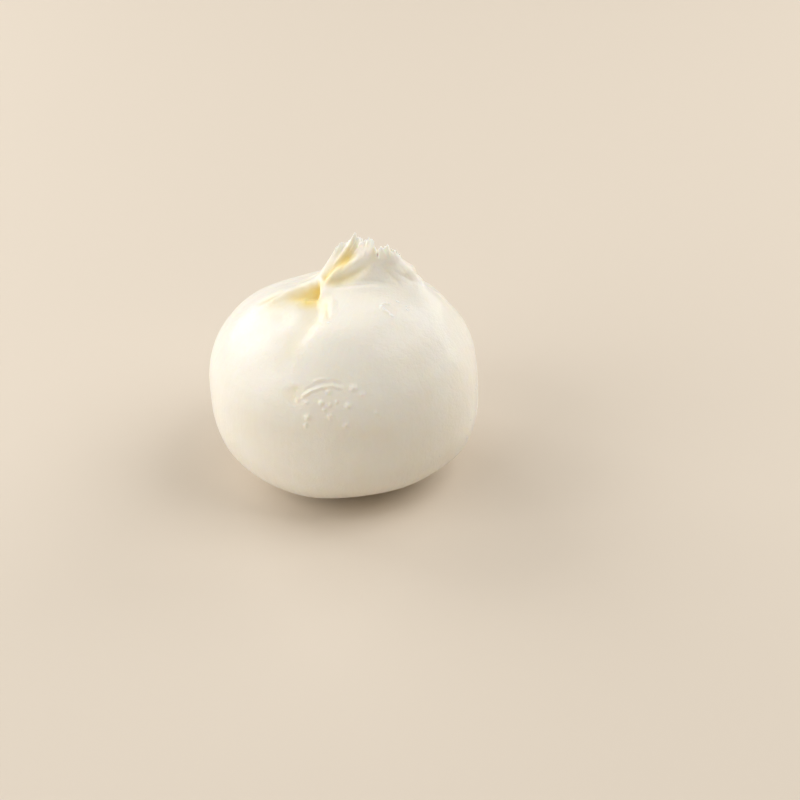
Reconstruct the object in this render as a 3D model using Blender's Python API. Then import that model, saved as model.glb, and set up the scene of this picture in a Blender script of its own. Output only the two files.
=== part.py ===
"""A burrata: one pouch of stretched curd, gathered into a short neck and torn off at the top.

The pouch stands on a small flat foot at z = 0. X runs to the right, Y to the back, Z up.
Sizes in the tables are millimetres, and the finished mesh is in metres.
"""
import math
from collections import namedtuple

import bmesh
import bpy
import numpy as np
from mathutils import Vector, noise

MM = 0.001

Station = namedtuple("Station", "height half_width half_depth right back")
Swell = namedtuple("Swell", "centre rise reach")
Fold = namedtuple("Fold", "route depth left right set_in fade")
Pleat = namedtuple("Pleat", "azimuth depth left right reach turn")
Tear = namedtuple("Tear", "azimuth rise spread")
Step = namedtuple("Step", "inward drop")

# The pouch below its shoulder: a round belly, squarer towards the foot than towards the crown.
BELLY_RADIUS = 43.4
BELLY_HEIGHT = 31.0
CROWN_RISE = 33.0
DEPTH_SHARE = 0.985
FOOT_ROUNDNESS = 3.3
CROWN_ROUNDNESS = 2.57
FOOT_LEVELS = (-0.86, -0.70, -0.48, -0.24)
CROWN_LEVELS = (0.0, 0.20, 0.40, 0.58)
FOOT_RADIUS = 17.0
FOOT_EDGE = 4.0

# Shoulder and neck: right and back say where the middle of the oval lies.
SHOULDER_AND_NECK = (
    Station(54.8, 33.5, 32.1, 1.0, 0.0),
    Station(58.1, 29.6, 26.9, 2.4, 0.2),
    Station(60.4, 25.4, 22.4, 3.7, 0.9),
    Station(62.6, 19.8, 16.4, 6.6, 4.4),
    Station(64.8, 16.3, 11.2, 8.1, 8.0),
    Station(67.3, 14.3, 8.0, 8.0, 8.9),
    Station(70.6, 11.7, 5.8, 7.4, 9.0),
    Station(73.8, 9.6, 4.4, 7.0, 9.0),
    Station(75.6, 8.7, 3.7, 6.8, 9.0),
)

# The torn hollow in the top of the neck: its rings lie a share further in and so much lower.
HOLLOW = (
    Step(0.14, 0.1),
    Step(0.28, 0.7),
    Step(0.50, 1.6),
    Step(0.75, 2.1),
    Step(1.0, 2.3),
)

# How finely the skin is divided: round the axis, and from the foot to the torn rim. The rings
# lie closer together from the first station of the shoulder on.
DIVISIONS_ROUND = 72
RINGS_BODY = 18
RINGS_NECK = 20

# Soft swells and hollows of the body. A negative rise is a hollow.
SWELLS = (
    Swell((5.0, -9.0, 63.0), 1.2, 9.0),
    Swell((-14.0, 22.0, 59.0), -1.0, 12.0),
    Swell((-14.0, -32.0, 6.0), 0.8, 14.0),
    Swell((36.0, -16.0, 13.0), 0.6, 13.0),
    Swell((-41.0, -6.0, 14.0), -0.6, 12.0),
    Swell((40.0, -4.0, 43.0), -1.1, 11.0),
)

# Folds that run out from the neck. A negative depth is a ridge. Left and right are how far the
# fold reaches to each side of its route, set in and fade are shares of the route's length.
FOLDS = (
    # the deep pocket to the left of the neck, steep at its back and easy at its front
    Fold(route=((-5.5, 3.5, 64.0), (-10.0, 0.8, 62.8), (-14.5, -0.4, 62.0),
                (-20.0, -1.5, 60.8), (-25.0, -4.2, 59.0), (-30.0, -8.5, 56.0)),
         depth=4.6, left=6.0, right=2.0, set_in=0.03, fade=0.85),
    # the lip above the pocket
    Fold(route=((-8.0, 5.0, 64.0), (-12.0, 4.8, 62.6), (-17.0, 3.0, 61.4),
                (-23.0, 0.5, 59.6), (-28.0, -3.5, 57.2)),
         depth=-1.3, left=2.0, right=4.5, set_in=0.10, fade=0.70),
    # the step down from the front lobe to the left one
    Fold(route=((-7.6, 1.5, 63.6), (-8.0, -3.5, 62.6), (-8.4, -9.0, 61.8),
                (-10.0, -17.0, 60.6), (-13.5, -23.5, 57.6)),
         depth=2.4, left=1.8, right=5.5, set_in=0.05, fade=0.80),
    # the valley between the flap and the front sheet of the neck
    Fold(route=((-6.6, 4.6, 65.0), (-3.2, 5.4, 68.4), (1.0, 5.4, 71.2),
                (4.2, 6.2, 73.6), (6.0, 7.4, 75.6)),
         depth=3.0, left=1.3, right=3.2, set_in=0.10, fade=0.45),
    # the ridge of the front sheet
    Fold(route=((-6.8, 3.8, 64.8), (-3.4, 3.8, 67.0), (0.4, 3.6, 69.2),
                (4.0, 3.8, 71.0), (7.4, 4.4, 72.6), (9.4, 5.4, 74.6)),
         depth=-1.6, left=1.3, right=1.1, set_in=0.10, fade=0.15),
    # the crease under that ridge
    Fold(route=((-5.6, 2.6, 64.8), (-0.7, 1.8, 66.6), (3.4, 1.4, 67.4),
                (8.0, 1.4, 68.0), (13.0, 1.2, 66.8)),
         depth=1.6, left=1.6, right=1.8, set_in=0.15, fade=0.50),
    # the notch between the right slope of the neck and the back shoulder
    Fold(route=((20.0, 9.0, 67.0), (24.0, 10.0, 63.0), (28.0, 11.0, 59.0),
                (33.0, 12.0, 54.0)),
         depth=1.6, left=2.4, right=2.4, set_in=0.20, fade=0.60),
)

# Pleats gathered into the back of the neck. Azimuths, half widths to the left and the right,
# and the turn for each mm down the skin are in degrees, depth and reach in mm.
PLEATS = (
    Pleat(10.0, 0.8, 6.0, 10.0, 24.0, 0.4),
    Pleat(40.0, 1.8, 5.0, 14.0, 38.0, 0.5),
    Pleat(66.0, 0.7, 5.0, 5.0, 20.0, 0.2),
    Pleat(88.0, 2.3, 16.0, 6.0, 44.0, 0.6),
    Pleat(114.0, 0.9, 5.0, 6.0, 22.0, 0.1),
    Pleat(134.0, 2.0, 6.0, 15.0, 40.0, -0.4),
    Pleat(160.0, 1.0, 9.0, 5.0, 28.0, -0.3),
)
PLEAT_START = -1.5
PLEAT_SET_IN = 6.0
PLEAT_FADE = 0.8

# The torn rim rises and drops by these shares of the neck's height, azimuths in degrees.
TEARS = (
    Tear(101.0, 0.27, 10.0),
    Tear(77.0, 0.15, 8.0),
    Tear(52.0, -0.17, 7.0),
    Tear(18.0, -0.05, 14.0),
    Tear(165.0, -0.07, 16.0),
    Tear(232.0, -0.32, 26.0),
    Tear(286.0, 0.02, 9.0),
    Tear(308.0, -0.16, 8.0),
)
NECK_FOOT = 64.0

# Curdy lumps along the rim: how high, how wide, how far down they fade out, and their seed.
LUMP_HEIGHT = 0.3
LUMP_WIDTH = 2.2
LUMP_FADE = 3.5
LUMP_SEED = 3

CURD_COLOUR = (0.86, 0.80, 0.68, 1.0)
CURD_ROUGHNESS = 0.32


def clear_scene():
    for thing in list(bpy.data.objects):
        bpy.data.objects.remove(thing, do_unlink=True)


def round_station(height, radius):
    return Station(height, radius, radius * DEPTH_SHARE, 0.0, 0.0)


def stations():
    """Every oval of the skin from the middle of the foot to the rim, as rows of an array."""
    rows = [round_station(0.0, 0.0), round_station(0.0, FOOT_RADIUS)]
    for level in FOOT_LEVELS:
        radius = BELLY_RADIUS * math.sqrt(1 - abs(level) ** FOOT_ROUNDNESS)
        rows.append(round_station(BELLY_HEIGHT * (1 + level), radius))
    for level in CROWN_LEVELS:
        radius = BELLY_RADIUS * math.sqrt(1 - level ** CROWN_ROUNDNESS)
        rows.append(round_station(BELLY_HEIGHT + CROWN_RISE * level, radius))
    return np.array(rows + list(SHOULDER_AND_NECK))


def arc_lengths(rows):
    """How far along the skin each station lies."""
    steps = np.hypot(np.diff(rows[:, 0]), np.diff(rows[:, 1] + rows[:, 2]) / 2)
    return np.concatenate([[0.0], np.cumsum(steps)])


def smooth_through(knots, values, at):
    """A smooth curve through the values that never swings past them."""
    gaps = np.diff(knots)
    slopes = np.diff(values) / gaps
    tangents = np.zeros_like(values)
    for i in range(1, len(knots) - 1):
        if slopes[i - 1] * slopes[i] > 0:
            before = 2 * gaps[i] + gaps[i - 1]
            after = gaps[i] + 2 * gaps[i - 1]
            tangents[i] = (before + after) / (before / slopes[i - 1] + after / slopes[i])
    tangents[0] = slopes[0]
    tangents[-1] = slopes[-1]
    i = np.clip(np.searchsorted(knots, at) - 1, 0, len(gaps) - 1)
    t = (at - knots[i]) / gaps[i]
    rise = values[i] + (values[i + 1] - values[i]) * t * t * (3 - 2 * t)
    ease = t * (1 - t) * ((1 - t) * tangents[i] - t * tangents[i + 1])
    return rise + ease * gaps[i]


def smooth_step(values):
    t = np.clip(values, 0.0, 1.0)
    return t * t * (3 - 2 * t)


def spin_tube():
    """A plain closed tube, one unit round, whose rings get their sizes later."""
    bm = bmesh.new()
    last = RINGS_BODY + RINGS_NECK + len(HOLLOW)
    chain = [bm.verts.new((1.0, 0.0, float(ring))) for ring in range(last + 1)]
    edges = [bm.edges.new(pair) for pair in zip(chain, chain[1:])]
    bmesh.ops.spin(bm, geom=chain + edges, cent=(0, 0, 0), axis=(0, 0, 1), dvec=(0, 0, 0),
                   angle=2 * math.pi, steps=DIVISIONS_ROUND, use_merge=True)
    for end in (0, last):
        ring = [vert for vert in bm.verts if round(vert.co.z) == end]
        bmesh.ops.pointmerge(bm, verts=ring, merge_co=(0.0, 0.0, end))
    bmesh.ops.recalc_face_normals(bm, faces=bm.faces)
    return bm


def ring_spacing(arcs):
    """Arc length of every ring up to the rim: wide rings on the body, narrow ones at the neck."""
    neck_arc = arcs[-len(SHOULDER_AND_NECK)]
    body = np.linspace(0.0, neck_arc, RINGS_BODY + 1)
    neck = np.linspace(neck_arc, arcs[-1], RINGS_NECK + 1)
    return np.concatenate([body, neck[1:]])


def draw_in(azimuth, arc, rows, arcs):
    """Places of the skin's points on the plain pouch, before any fold or swell."""
    height, half_width, half_depth, right, back = (
        smooth_through(arcs, rows[:, column], arc) for column in range(5))
    x = right + half_width * np.cos(azimuth)
    y = back + half_depth * np.sin(azimuth)
    return np.stack([x, y, height], axis=-1)


def set_places(bm, places):
    for vert, place in zip(bm.verts, places):
        vert.co = place
    bm.normal_update()


def outward(bm):
    return np.array([vert.normal for vert in bm.verts])


def swell(base, out):
    """Broad lumps and hollows of the body."""
    move = np.zeros_like(base)
    for lump in SWELLS:
        near = np.exp(-np.sum((base - np.array(lump.centre)) ** 2, axis=1) / lump.reach ** 2)
        move += out * (lump.rise * near)[:, None]
    return move * smooth_step(base[:, 2] / FOOT_EDGE)[:, None]


def press_fold(base, out, fold):
    """Moves that press one fold into the skin, deepest on the route itself."""
    points = np.array(fold.route)
    spans = points[1:] - points[:-1]
    lengths = np.linalg.norm(spans, axis=1)
    travelled = np.concatenate([[0.0], np.cumsum(lengths)])
    nearest = np.full(len(base), np.inf)
    across = np.zeros(len(base))
    along = np.zeros(len(base))
    for start, span, length, done in zip(points, spans, lengths, travelled):
        t = np.clip((base - start) @ span / length ** 2, 0.0, 1.0)
        gap = base - start - t[:, None] * span
        distance = np.linalg.norm(gap, axis=1)
        side = np.sign(np.sum(np.cross(out, span) * gap, axis=1))
        closer = distance < nearest
        nearest[closer] = distance[closer]
        across[closer] = (side * distance)[closer]
        along[closer] = (done + t * length)[closer]
    share = along / travelled[-1]
    reach = np.where(across > 0, fold.left, fold.right)
    strength = smooth_step(share / fold.set_in) * smooth_step((1 - share) / fold.fade)
    press = fold.depth * strength * np.exp(-(across / reach) ** 2)
    return -out * press[:, None]


def degrees_from(azimuth, centre):
    """How many degrees each azimuth lies past a centre, from -180 to 180."""
    return (np.degrees(azimuth) - centre + 180.0) % 360.0 - 180.0


def press_pleat(azimuth, down, out, pleat):
    """Moves that gather one pleat, which turns a little and runs out over the shoulder."""
    gap = degrees_from(azimuth, pleat.azimuth + pleat.turn * down)
    width = np.where(gap > 0, pleat.left, pleat.right)
    set_in = smooth_step((down - PLEAT_START) / PLEAT_SET_IN)
    fade = smooth_step((pleat.reach - down) / (PLEAT_FADE * pleat.reach))
    press = pleat.depth * set_in * fade * np.exp(-(gap / width) ** 2)
    return -out * press[:, None]


def tear_rim(azimuth, height):
    """How far the torn rim, and the neck below it in proportion, rises or drops."""
    share = np.zeros_like(azimuth)
    for tear in TEARS:
        share += tear.rise * np.exp(-(degrees_from(azimuth, tear.azimuth) / tear.spread) ** 2)
    return share * np.maximum(height - NECK_FOOT, 0.0)


def raise_lumps(base, down):
    """Small curdy lumps where the neck was torn."""
    noise.seed_set(LUMP_SEED)
    strength = LUMP_HEIGHT * np.exp(-(down / LUMP_FADE) ** 2)
    lumps = np.array([noise.noise_vector(Vector(place) / LUMP_WIDTH) for place in base])
    return lumps * strength[:, None]


def sink_hollow(ring, azimuth, places):
    """Lays the rings beyond the rim inwards and down from it, to one point in the middle."""
    rim_ring = RINGS_BODY + RINGS_NECK
    rim = ring == rim_ring
    order = np.argsort(azimuth[rim])
    angles = azimuth[rim][order]
    edge = places[rim][order]
    middle = edge.mean(axis=0)
    for number, step in enumerate(HOLLOW, start=1):
        here = ring == rim_ring + number
        loop = np.stack([np.interp(azimuth[here], angles, edge[:, axis], period=2 * math.pi)
                         for axis in range(3)], axis=-1)
        places[here] = loop + (middle - loop) * step.inward
        places[here, 2] -= step.drop


def build_burrata():
    """Spins the skin, draws its rings in to the pouch's ovals, and folds, gathers and tears it."""
    rows = stations()
    arcs = arc_lengths(rows)
    bm = spin_tube()
    tube = np.array([vert.co for vert in bm.verts])
    azimuth = np.arctan2(tube[:, 1], tube[:, 0])
    ring = np.rint(tube[:, 2]).astype(int)
    spacing = ring_spacing(arcs)
    arc = spacing[np.minimum(ring, len(spacing) - 1)]
    down = arcs[-1] - arc

    base = draw_in(azimuth, arc, rows, arcs)
    set_places(bm, base)
    out = outward(bm)
    places = base + swell(base, out)
    for fold in FOLDS:
        places += press_fold(base, out, fold)
    for pleat in PLEATS:
        places += press_pleat(azimuth, down, out, pleat)
    places[:, 2] += tear_rim(azimuth, base[:, 2])
    places += raise_lumps(base, down)
    sink_hollow(ring, azimuth, places)
    return bm, places


def stand_up(bm, places):
    """Centres the pouch over the origin, in metres, with its foot flat on z = 0."""
    places[:, 2] = np.maximum(places[:, 2], 0.0)
    low = places.min(axis=0)
    high = places.max(axis=0)
    places[:, :2] -= (low[:2] + high[:2]) / 2
    set_places(bm, places * MM)


def curd_material():
    material = bpy.data.materials.new("curd_skin")
    material.use_nodes = True
    shader = material.node_tree.nodes["Principled BSDF"]
    shader.inputs["Base Color"].default_value = CURD_COLOUR
    shader.inputs["Roughness"].default_value = CURD_ROUGHNESS
    shader.inputs["Metallic"].default_value = 0.0
    return material


def add_object(name, bm, material):
    mesh = bpy.data.meshes.new(name)
    bm.to_mesh(mesh)
    bm.free()
    for polygon in mesh.polygons:
        polygon.use_smooth = True
    mesh.materials.append(material)
    thing = bpy.data.objects.new(name, mesh)
    bpy.context.scene.collection.objects.link(thing)
    return thing


def main():
    clear_scene()
    bm, places = build_burrata()
    stand_up(bm, places)
    add_object("burrata", bm, curd_material())


main()
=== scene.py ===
"""A burrata with its looks: one pouch of stretched curd, wet and glossy, torn off at the top.

It is laid out as an add-on and is run as a script. The tables of the pouch are in millimetres:
X runs to the right, Y to the back and Z up, before the pouch is centred over the frame's own
box. Everything handed to Blender is in metres.
"""
import math
import random
from collections import namedtuple

import bmesh
import bpy
import numpy as np
from bpy.props import FloatProperty, FloatVectorProperty, IntProperty, PointerProperty
from bpy.types import Operator, Panel, PropertyGroup
from mathutils import Matrix, Vector, noise
from mathutils.bvhtree import BVHTree


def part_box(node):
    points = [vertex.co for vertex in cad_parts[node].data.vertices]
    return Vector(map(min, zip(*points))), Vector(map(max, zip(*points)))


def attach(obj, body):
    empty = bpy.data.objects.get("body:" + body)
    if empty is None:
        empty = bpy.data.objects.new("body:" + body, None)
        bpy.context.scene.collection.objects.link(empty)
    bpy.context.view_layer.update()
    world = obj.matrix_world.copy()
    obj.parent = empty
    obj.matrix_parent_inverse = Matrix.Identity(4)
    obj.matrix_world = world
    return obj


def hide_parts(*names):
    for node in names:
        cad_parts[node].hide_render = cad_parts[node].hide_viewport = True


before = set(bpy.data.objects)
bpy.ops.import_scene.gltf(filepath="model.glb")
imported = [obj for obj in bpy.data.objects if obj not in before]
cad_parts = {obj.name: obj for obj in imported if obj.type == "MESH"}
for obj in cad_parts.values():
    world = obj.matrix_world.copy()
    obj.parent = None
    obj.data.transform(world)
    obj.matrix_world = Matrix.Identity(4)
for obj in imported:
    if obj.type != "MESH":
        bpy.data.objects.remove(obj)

bl_info = {
    "name": "Burrata",
    "version": (1, 0, 0),
    "blender": (4, 5, 0),
    "location": "View3D > Sidebar > Burrata",
    "description": "Models a burrata with its folds, torn top and whey drops, and a stage for it",
    "category": "Add Mesh",
}

MM = 0.001
CAD_NODE = "burrata"

Station = namedtuple("Station", "height half_width half_depth right back")
Swell = namedtuple("Swell", "centre rise reach")
Fold = namedtuple("Fold", "route depth left right set_in fade edge tint", defaults=(2.0, 0.0))
Pleat = namedtuple("Pleat", "azimuth depth left right reach turn")
Tear = namedtuple("Tear", "azimuth rise width")
Patch = namedtuple("Patch", "azimuth spread low high")
DropGroup = namedtuple("DropGroup", "azimuth spread low high count")
Light = namedtuple("Light", "name power place size")
Tinge = namedtuple("Tinge", "centre amount reach")

# The pouch below its shoulder: a round belly, squarer towards the foot than towards the crown.
# A level is a share of the way from its widest ring down to the foot or up to the crown.
BELLY_RADIUS = 43.4
BELLY_HEIGHT = 31.0
CROWN_RISE = 33.0
DEPTH_SHARE = 0.985
FOOT_ROUNDNESS = 3.3
CROWN_ROUNDNESS = 2.57
FOOT_LEVELS = (-0.86, -0.70, -0.48, -0.24)
CROWN_LEVELS = (0.0, 0.20, 0.40, 0.58)
FOOT_RADIUS = 17.0

# How far above the foot the swells and waves reach their full height, so that it stays flat.
FOOT_EDGE = 4.0

# Shoulder and neck: right and back say where the middle of the oval lies.
SHOULDER_AND_NECK = (
    Station(54.8, 33.5, 32.1, 1.0, 0.0),
    Station(58.1, 29.6, 26.9, 2.4, 0.2),
    Station(60.4, 25.4, 22.4, 3.7, 0.9),
    Station(62.6, 19.8, 16.4, 6.6, 4.4),
    Station(64.8, 16.3, 11.2, 8.1, 8.0),
    Station(67.3, 14.3, 8.0, 8.0, 8.9),
    Station(70.6, 11.7, 5.8, 7.4, 9.0),
    Station(73.8, 9.6, 4.4, 7.0, 9.0),
    Station(75.6, 8.7, 3.7, 6.8, 9.0),
)

# The torn hollow in the top of the neck: how far inwards each of its rings lies, as a share of
# the way from the rim to the line along the hollow's floor, how fast its wall drops, and that
# line from the left to the right.
HOLLOW_SHARES = (0.06, 0.14, 0.24, 0.36, 0.50, 0.64, 0.78, 0.91)
HOLLOW_STEEPNESS = 1.8
HOLLOW_FLOOR = (
    (-0.8, 10.3, 73.0),
    (1.5, 10.6, 73.7),
    (4.0, 10.9, 74.8),
    (6.0, 10.6, 73.6),
    (8.6, 9.3, 71.9),
    (11.2, 8.8, 70.8),
    (13.6, 8.6, 70.9),
    (15.8, 8.7, 70.9),
)

# The lumps in the hollow: how high against those of the rim, and by which ring they are full.
HOLLOW_LUMPS = 0.6
HOLLOW_LUMPS_RINGS = 3.0

# How finely the plain tube is divided before its faces are halved, and how far from a ring's
# number a point still lies on that ring.
DIVISIONS_ROUND = 128
RINGS_BODY = 30
RINGS_NECK = 54
ON_RING = 0.01

# Where the faces are halved again, so that small marks have a shape of their own: the middle
# and the spread to each side in degrees, and the lowest and highest ring by height in mm.
PATCHES = (
    Patch(azimuth=257.0, spread=30.0, low=35.0, high=56.0),
    Patch(azimuth=257.0, spread=27.0, low=37.0, high=54.0),
    Patch(azimuth=239.0, spread=75.0, low=59.5, high=73.0),
    Patch(azimuth=90.0, spread=180.0, low=74.0, high=90.0),
)

# Soft swells and hollows of the body: how high they rise, and how far they reach. A negative
# rise is a hollow.
SWELLS = (
    Swell((5.0, -9.0, 63.0), 1.2, 9.0),
    Swell((-4.0, -22.5, 58.8), 1.3, 9.5),
    Swell((6.0, -23.0, 59.2), 1.3, 9.5),
    Swell((16.0, -21.0, 58.8), 1.2, 9.5),
    Swell((13.5, -13.5, 62.0), 1.2, 7.5),
    Swell((-14.0, 22.0, 59.0), -1.0, 12.0),
    Swell((-14.0, -32.0, 6.0), 0.8, 14.0),
    Swell((36.0, -16.0, 13.0), 0.6, 13.0),
    Swell((-41.0, -6.0, 14.0), -0.6, 12.0),
    Swell((40.0, -4.0, 43.0), -1.1, 11.0),
    Swell((-18.4, -10.0, 60.6), -0.5, 4.0),
    Swell((8.6, 4.2, 74.0), 0.8, 2.4),
    Swell((13.4, 4.4, 73.2), 1.1, 2.9),
    Swell((19.5, 6.5, 70.0), 0.9, 3.5),
    Swell((22.5, 8.0, 66.0), 0.9, 3.6),
    Swell((19.5, 3.6, 67.2), 0.7, 2.8),
)

# The small bumps on the front of the belly, in the same way. Below SMALL_REACH, one moves to
# the nearest point of the mesh.
BUMPS = (
    Swell((3.4, -36.6, 50.2), 0.54, 1.0),
    Swell((6.1, -37.6, 48.4), 0.30, 0.9),
    Swell((-6.3, -38.8, 46.4), 0.57, 0.7),
    Swell((-10.6, -39.7, 42.0), 0.57, 0.9),
    Swell((-3.8, -40.7, 42.5), 0.46, 0.8),
    Swell((-11.4, -40.2, 39.3), 0.41, 0.6),
    Swell((1.1, -41.6, 39.9), 0.38, 0.9),
    Swell((1.7, -39.6, 45.7), 0.43, 0.9),
    Swell((-4.0, -39.4, 45.7), 0.38, 0.5),
    Swell((-5.6, -39.8, 44.5), 0.34, 0.6),
    Swell((-1.8, -39.0, 46.9), 0.35, 0.5),
    Swell((10.4, -39.5, 42.9), 0.41, 0.7),
    Swell((12.6, -39.4, 41.4), 0.30, 0.6),
    Swell((-10.8, -37.8, 46.3), 0.32, 0.6),
    Swell((-4.1, -37.1, 49.4), 0.41, 0.7),
    Swell((-13.6, -36.9, 46.5), 0.38, 0.7),
)
SMALL_REACH = 2.0

# Folds that run out from the neck, and small ones on the front. A negative depth is a ridge.
# Left and right are how far the fold reaches to each side of its route, set in and fade are
# shares of the route's length, an edge of 2 is round and one of 1 is sharp, and tint is how
# much of the fold's colour it shows: partly the cream's own colour, partly painted shade.
FOLDS = (
    # the deep pocket to the left of the neck, steep at its back and easy at its front
    Fold(route=((-6.9, 2.3, 64.2), (-9.0, 2.4, 63.7), (-12.0, 3.0, 62.9), (-16.4, 1.8, 61.7),
                (-20.8, -0.2, 60.6), (-24.6, -3.0, 59.0), (-28.0, -6.8, 57.0)),
         depth=2.9, left=5.4, right=2.2, set_in=0.05, fade=1.2, tint=0.6),
    Fold(route=((-6.9, 2.0, 64.2), (-9.0, 1.9, 63.7), (-12.0, 2.2, 62.9), (-15.5, 1.8, 61.9),
                (-19.0, 0.6, 61.0)),
         depth=1.5, left=3.4, right=2.0, set_in=0.05, fade=1.1, edge=1.8, tint=0.9),
    # the lip above the pocket
    Fold(route=((-8.6, 5.0, 63.9), (-12.5, 5.2, 62.8), (-17.0, 3.8, 61.5),
                (-21.5, 1.8, 60.4), (-25.5, -1.2, 58.8)),
         depth=-0.35, left=1.6, right=3.0, set_in=0.10, fade=0.70),
    # the step down from the front lobe to the left one, and the lobe's rounded edge beside it
    Fold(route=((-7.7, -1.4, 63.6), (-7.3, -4.0, 63.0), (-7.4, -9.0, 62.3),
                (-8.4, -15.0, 61.2), (-11.5, -20.0, 59.4), (-16.5, -26.5, 55.0),
                (-21.0, -30.5, 50.0)),
         depth=1.0, left=2.3, right=4.6, set_in=0.12, fade=0.95, edge=1.9, tint=0.22),
    Fold(route=((-5.9, 1.0, 64.3), (-5.2, -3.0, 63.5), (-5.0, -9.0, 62.6),
                (-5.4, -15.5, 61.5)),
         depth=-0.12, left=2.0, right=1.3, set_in=0.10, fade=0.90),
    # the valley between the flap and the front sheet of the neck
    Fold(route=((-6.6, 4.6, 65.2), (-4.2, 5.1, 67.6), (-1.9, 4.9, 69.6),
                (0.6, 5.2, 72.5), (0.7, 6.2, 75.4)),
         depth=1.0, left=1.7, right=1.4, set_in=0.10, fade=0.45, edge=1.8, tint=0.85),
    # the ridge of the front sheet
    Fold(route=((-6.6, 4.0, 65.2), (-4.2, 4.1, 66.9), (-1.8, 4.1, 68.7),
                (0.6, 4.2, 70.7), (4.2, 3.9, 71.6), (6.2, 4.4, 73.3)),
         depth=-0.8, left=1.2, right=1.6, set_in=0.22, fade=0.35),
    # the crease under that ridge
    Fold(route=((-5.5, 2.1, 64.9), (-1.2, 2.0, 66.6), (3.5, 1.9, 68.0),
                (6.4, 2.4, 69.2), (9.3, 3.6, 71.2)),
         depth=0.9, left=1.1, right=1.4, set_in=0.15, fade=0.50, tint=0.5),
    # the notch between the right slope of the neck and the back shoulder
    Fold(route=((20.0, 9.0, 67.0), (24.0, 10.0, 63.0), (28.0, 11.0, 59.0),
                (33.0, 12.0, 54.0)),
         depth=1.0, left=2.0, right=2.0, set_in=0.25, fade=0.60, tint=0.1),
    # the narrow crease in the front lobe, beside its edge, whose tint paints a line of shade
    # along it
    Fold(route=((-4.8, -5.0, 63.8), (-4.6, -9.0, 63.1), (-4.2, -13.0, 62.3),
                (-3.9, -16.5, 61.6)),
         depth=0.2, left=0.5, right=1.0, set_in=0.30, fade=0.40, edge=1.5, tint=0.35),
    Fold(route=((-3.2, -4.0, 64.1), (-2.8, -9.0, 63.2), (-2.6, -14.0, 62.3)),
         depth=-0.15, left=1.0, right=1.2, set_in=0.30, fade=0.50),
    # the step along the foot of the neck, with a fine wrinkle above it
    Fold(route=((-3.9, 1.0, 65.0), (0.7, 0.0, 65.8), (5.5, -0.5, 66.1), (10.2, -0.2, 66.4),
                (15.2, -0.4, 65.6), (18.4, -0.9, 64.7)),
         depth=1.1, left=2.6, right=0.9, set_in=0.14, fade=0.50, edge=1.5),
    Fold(route=((1.0, 0.8, 66.3), (6.0, 0.3, 66.9), (11.0, 0.4, 66.9), (16.0, 0.2, 65.8),
                (20.5, 0.0, 64.0)),
         depth=0.2, left=0.5, right=0.5, set_in=0.30, fade=0.50, edge=1.5),
    # the soft hollow under the deep tear, and small folds on the right slope of the neck
    Fold(route=((8.6, 4.6, 74.6), (8.3, 4.0, 72.1), (8.6, 2.7, 69.6)),
         depth=0.25, left=1.2, right=1.2, set_in=0.20, fade=0.60, tint=0.15),
    Fold(route=((12.5, 3.4, 69.9), (15.1, 2.4, 67.8), (17.4, 1.3, 66.1), (20.0, -1.0, 64.3)),
         depth=0.2, left=0.6, right=0.8, set_in=0.30, fade=0.50, edge=1.5, tint=0.1),
    Fold(route=((16.4, 5.7, 71.1), (18.9, 4.5, 68.0), (21.5, 3.4, 65.6), (24.1, 0.4, 63.5)),
         depth=0.16, left=0.7, right=0.9, set_in=0.30, fade=0.50, edge=1.5, tint=0.1),
    Fold(route=((14.8, 3.6, 69.8), (18.5, 3.4, 66.6), (22.5, 3.8, 63.0), (27.5, 4.8, 58.0)),
         depth=0.25, left=0.7, right=0.7, set_in=0.30, fade=0.60, edge=1.4),
    Fold(route=((17.0, 7.4, 69.8), (21.0, 8.0, 65.4), (26.0, 8.6, 60.6), (32.0, 8.8, 55.0)),
         depth=0.3, left=0.8, right=0.9, set_in=0.30, fade=0.60, edge=1.4, tint=0.2),
    Fold(route=((23.0, 6.0, 62.8), (28.0, 6.0, 58.6), (33.0, 5.6, 54.0), (37.0, 5.0, 49.6)),
         depth=0.35, left=0.8, right=0.8, set_in=0.40, fade=0.50, edge=1.4),
    # a broad shallow crease on the left shoulder
    Fold(route=((-17.0, 6.0, 61.8), (-22.0, 4.2, 59.8), (-27.5, 1.4, 57.0)),
         depth=0.4, left=1.6, right=1.6, set_in=0.40, fade=0.50, tint=0.35),
    # the fine raised line on the crown
    Fold(route=((12.2, -10.8, 63.0), (12.5, -12.2, 62.7), (13.3, -13.4, 62.4),
                (14.2, -14.0, 62.2), (15.1, -15.0, 61.7)),
         depth=-0.42, left=0.5, right=0.45, set_in=0.15, fade=0.20),
    Fold(route=((12.3, -10.6, 63.0), (13.5, -9.5, 63.2), (14.9, -9.6, 63.2), (15.9, -10.2, 63.0)),
         depth=-0.32, left=0.45, right=0.45, set_in=0.20, fade=0.30),
    # the dimple on the front of the belly
    Fold(route=((-15.1, -33.7, 50.4), (-14.3, -36.1, 47.4), (-16.8, -36.6, 44.4)),
         depth=0.45, left=2.6, right=4.2, set_in=0.35, fade=0.45, tint=0.2),
    # the arcs beside the dimple
    Fold(route=((-13.2, -36.8, 47.0), (-9.8, -36.8, 49.5), (-6.4, -36.5, 50.7),
                (-3.0, -36.4, 51.2), (1.2, -37.2, 50.0)),
         depth=-0.42, left=0.42, right=0.55, set_in=0.12, fade=0.15),
    Fold(route=((-13.0, -36.0, 48.2), (-9.6, -36.0, 50.6), (-6.4, -35.7, 51.8),
                (-3.0, -35.7, 52.2), (1.4, -36.5, 51.0)),
         depth=0.22, left=0.5, right=0.5, set_in=0.20, fade=0.20),
    Fold(route=((-9.4, -34.8, 51.6), (-7.0, -34.6, 52.4), (-4.3, -34.6, 52.6)),
         depth=-0.28, left=0.4, right=0.4, set_in=0.25, fade=0.30),
)
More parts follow.
